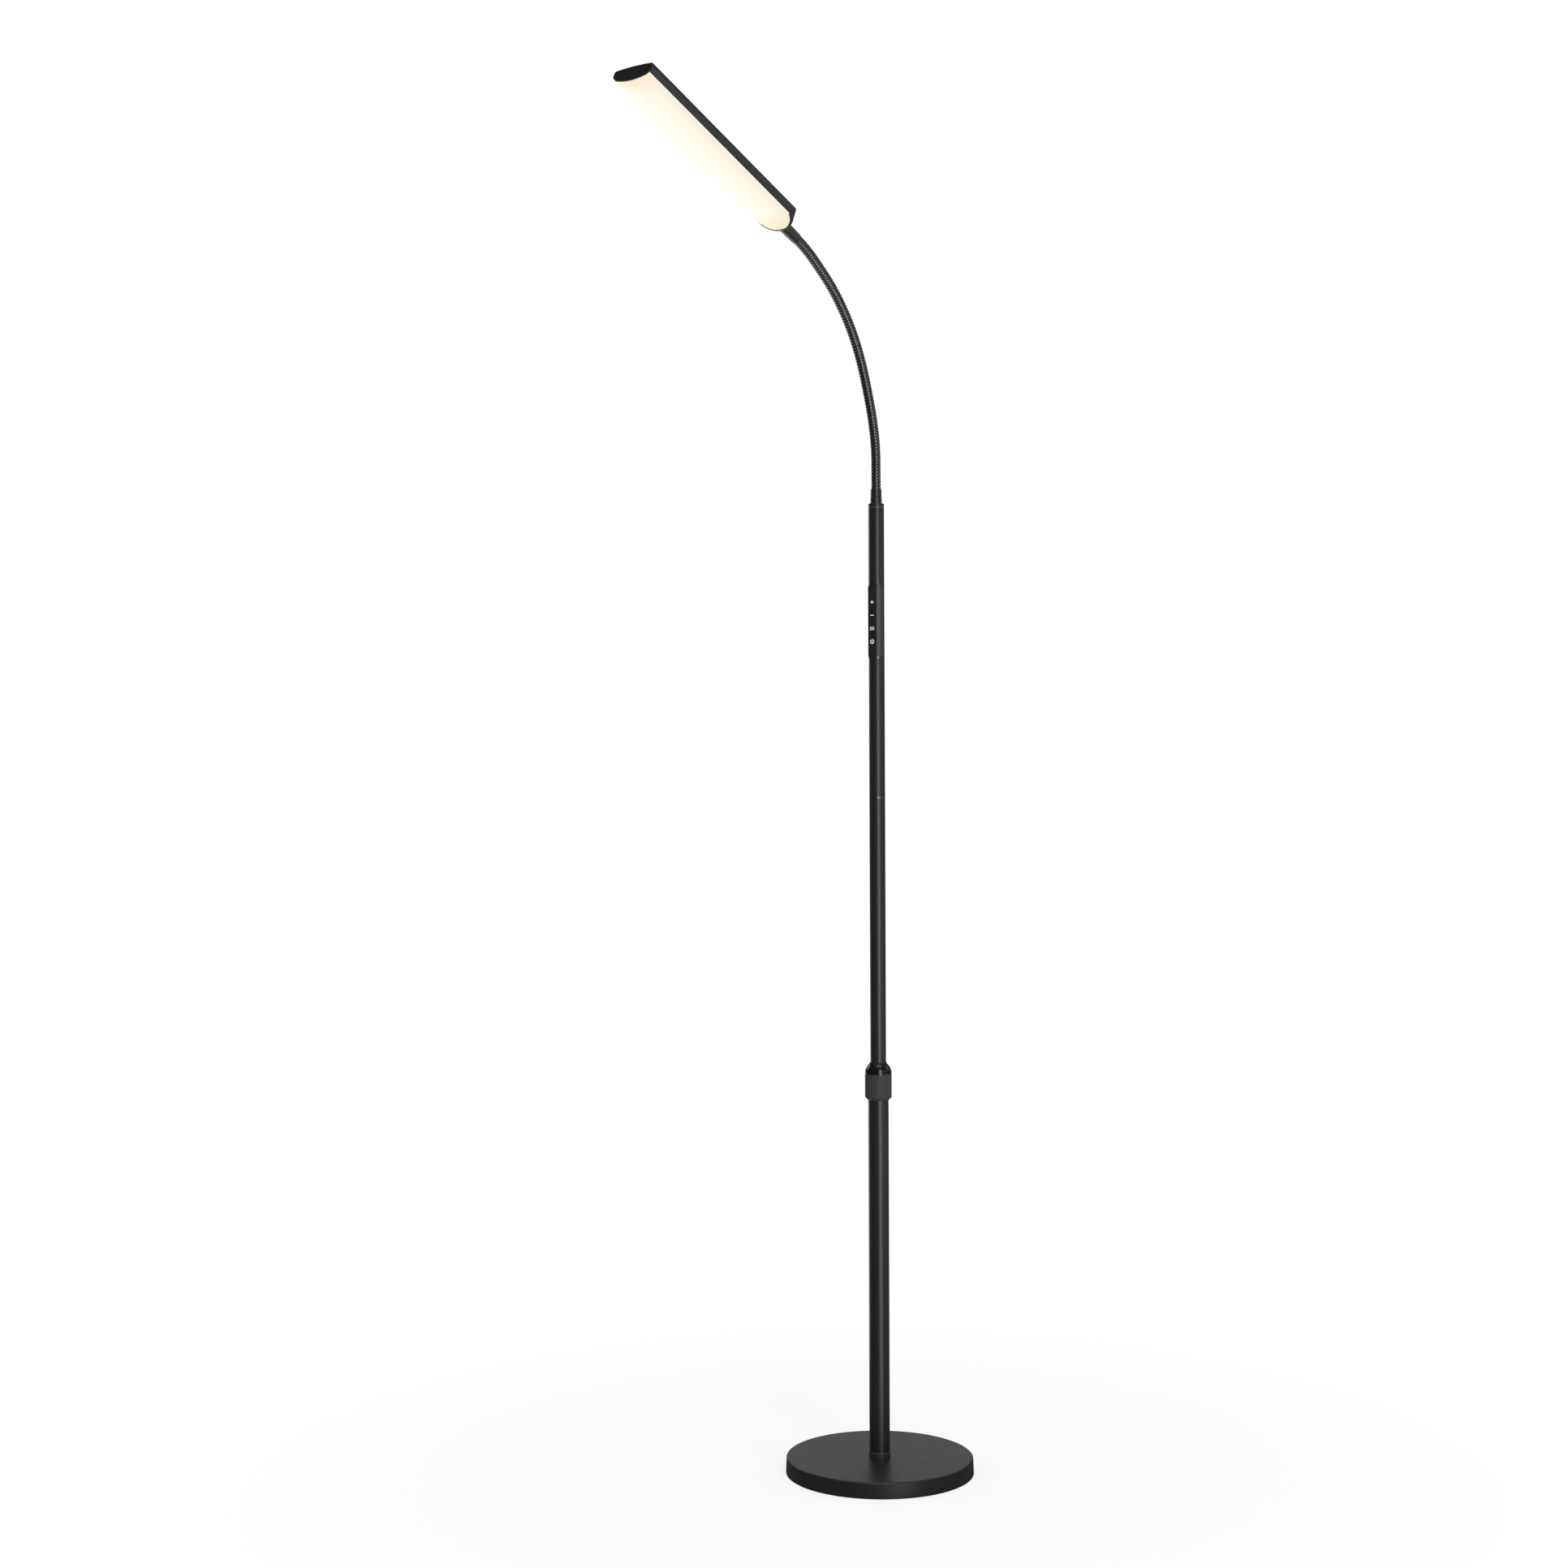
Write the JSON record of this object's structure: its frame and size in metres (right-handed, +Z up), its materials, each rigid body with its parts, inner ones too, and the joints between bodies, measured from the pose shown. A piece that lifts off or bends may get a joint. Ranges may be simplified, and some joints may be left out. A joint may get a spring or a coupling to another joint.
{
  "type": "floor lamp",
  "caption": "Gooseneck floor lamp with a round weighted base, twist-lock telescopic pole, push-button control panel and slim flat light head.",
  "frame": {"origin": "on the floor, on the axis of the pole, under the middle of the round base", "axes": "+Z up along the pole, -Y to the front, where the control panel faces and the head reaches out, +X to the right of the lamp seen from its back"},
  "size_m": [0.229, 0.5626, 1.6118],
  "materials": {
    "base_cover": "satin black powder coat",
    "base_weight": "rough casting, dull black primer",
    "base_pad": "dense black foam",
    "base_bolt": "zinc plated",
    "base_washer": "zinc plated",
    "pole_plug": "turned steel",
    "pole_foot": "satin black",
    "tubes": "satin black powder coat",
    "clamp_collet": "moulded black nylon",
    "clamp_collar": "satin black",
    "guide_bush": "natural white plastic",
    "tube_joiner": "satin black",
    "control_cover": "moulded satin black",
    "control_board": "green solder mask",
    "plated_hardware": "zinc plated",
    "button_switches": "light grey switches",
    "remote_receiver": "dark infrared window",
    "board_parts": "black and cream components",
    "power_socket": "black shell with a plated pin",
    "wires": "insulated copper wire",
    "buttons": "black cap with a white symbol",
    "tube_cap": "satin black with a bright ring",
    "ferrules": "satin black",
    "neck": "satin black ribbed steel",
    "head_housing": "satin black paint on aluminium",
    "led_board": "white solder mask on an aluminium board",
    "led_chips": "yellow phosphor",
    "led_plug": "cream plug",
    "diffuser": "opal, lit warm white"
  },
  "bodies": {
    "base": {"base_cover": "base_cover", "base_weight": "base_weight", "base_pad": "base_pad", "base_bolt": "base_bolt", "base_washer": "base_washer", "pole_plug": "pole_plug", "pole_foot": "pole_foot", "lower_tube": "tubes", "clamp_collet": "clamp_collet"},
    "collar": {"clamp_collar": "clamp_collar"},
    "upper_pole": {"guide_bush": "guide_bush", "extension_tube": "tubes", "tube_joiner": "tube_joiner", "control_tube": "tubes", "control_cover": "control_cover", "control_board": "control_board", "board_screws": "plated_hardware", "button_switches": "button_switches", "remote_receiver": "remote_receiver", "board_parts": "board_parts", "power_socket": "power_socket", "lamp_wires": "wires", "tube_cap": "tube_cap", "neck_nut": "plated_hardware", "neck_ferrule": "ferrules", "neck_part_0": "neck"},
    "plus": {"button_plus": "buttons"},
    "minus": {"button_minus": "buttons"},
    "mode": {"button_mode": "buttons"},
    "power": {"button_power": "buttons"},
    "neck_1": {"neck_part_1": "neck"},
    "neck_2": {"neck_part_2": "neck"},
    "neck_3": {"neck_part_3": "neck"},
    "neck_4": {"neck_part_4": "neck"},
    "neck_5": {"neck_part_5": "neck"},
    "neck_6": {"neck_part_6": "neck"},
    "neck_7": {"neck_part_7": "neck"},
    "neck_8": {"neck_part_8": "neck"},
    "head": {"neck_part_9": "neck", "head_ferrule": "ferrules", "head_nut": "plated_hardware", "head_housing": "head_housing", "led_board": "led_board", "led_chips": "led_chips", "led_screws": "plated_hardware", "led_plug": "led_plug", "led_wires": "wires", "diffuser": "diffuser"}
  },
  "joints": [
    {"name": "pole_slide", "type": "slide", "parent": "base", "child": "upper_pole", "axis": [0, 0, 1], "range_m": [-0.32, 0]},
    {"name": "collar_twist", "type": "hinge", "parent": "base", "child": "collar", "pos_m": [0, 0, 0.4543], "axis": [0, 0, 1], "range_deg": [0, 180]},
    {"name": "neck_bend_1", "type": "hinge", "parent": "upper_pole", "child": "neck_1", "pos_m": [0, -0.00007, 1.22425], "axis": [1, 0, 0], "range_deg": [-28, 19]},
    {"name": "neck_sway_2", "type": "hinge", "parent": "neck_1", "child": "neck_2", "pos_m": [0, -0.00178, 1.25795], "axis": [0, 0.9826, 0.1858], "range_deg": [-20, 20]},
    {"name": "neck_bend_3", "type": "hinge", "parent": "neck_2", "child": "neck_3", "pos_m": [0, -0.00894, 1.29093], "axis": [1, 0, 0], "range_deg": [-28, 19]},
    {"name": "neck_bend_4", "type": "hinge", "parent": "neck_3", "child": "neck_4", "pos_m": [0, -0.01934, 1.32304], "axis": [1, 0, 0], "range_deg": [-28, 19]},
    {"name": "neck_sway_5", "type": "hinge", "parent": "neck_4", "child": "neck_5", "pos_m": [0, -0.03179, 1.35441], "axis": [0, 0.8926, 0.4509], "range_deg": [-20, 20]},
    {"name": "neck_bend_6", "type": "hinge", "parent": "neck_5", "child": "neck_6", "pos_m": [0, -0.04809, 1.38395], "axis": [1, 0, 0], "range_deg": [-28, 19]},
    {"name": "neck_bend_7", "type": "hinge", "parent": "neck_6", "child": "neck_7", "pos_m": [0, -0.06861, 1.41074], "axis": [1, 0, 0], "range_deg": [-28, 19]},
    {"name": "neck_sway_8", "type": "hinge", "parent": "neck_7", "child": "neck_8", "pos_m": [0, -0.09254, 1.43453], "axis": [0, 0.6184, 0.7859], "range_deg": [-20, 20]},
    {"name": "neck_bend_9", "type": "hinge", "parent": "neck_8", "child": "head", "pos_m": [0, -0.11938, 1.455], "axis": [1, 0, 0], "range_deg": [-28, 19]},
    {"name": "plus_press", "type": "slide", "parent": "upper_pole", "child": "plus", "axis": [0, 1, 0], "range_m": [0, 0.0006], "stiffness_N_per_m": 1000},
    {"name": "minus_press", "type": "slide", "parent": "upper_pole", "child": "minus", "axis": [0, 1, 0], "range_m": [0, 0.0006], "stiffness_N_per_m": 1000},
    {"name": "mode_press", "type": "slide", "parent": "upper_pole", "child": "mode", "axis": [0, 1, 0], "range_m": [0, 0.0006], "stiffness_N_per_m": 1000},
    {"name": "power_press", "type": "slide", "parent": "upper_pole", "child": "power", "axis": [0, 1, 0], "range_m": [0, 0.0006], "stiffness_N_per_m": 1000}
  ]
}
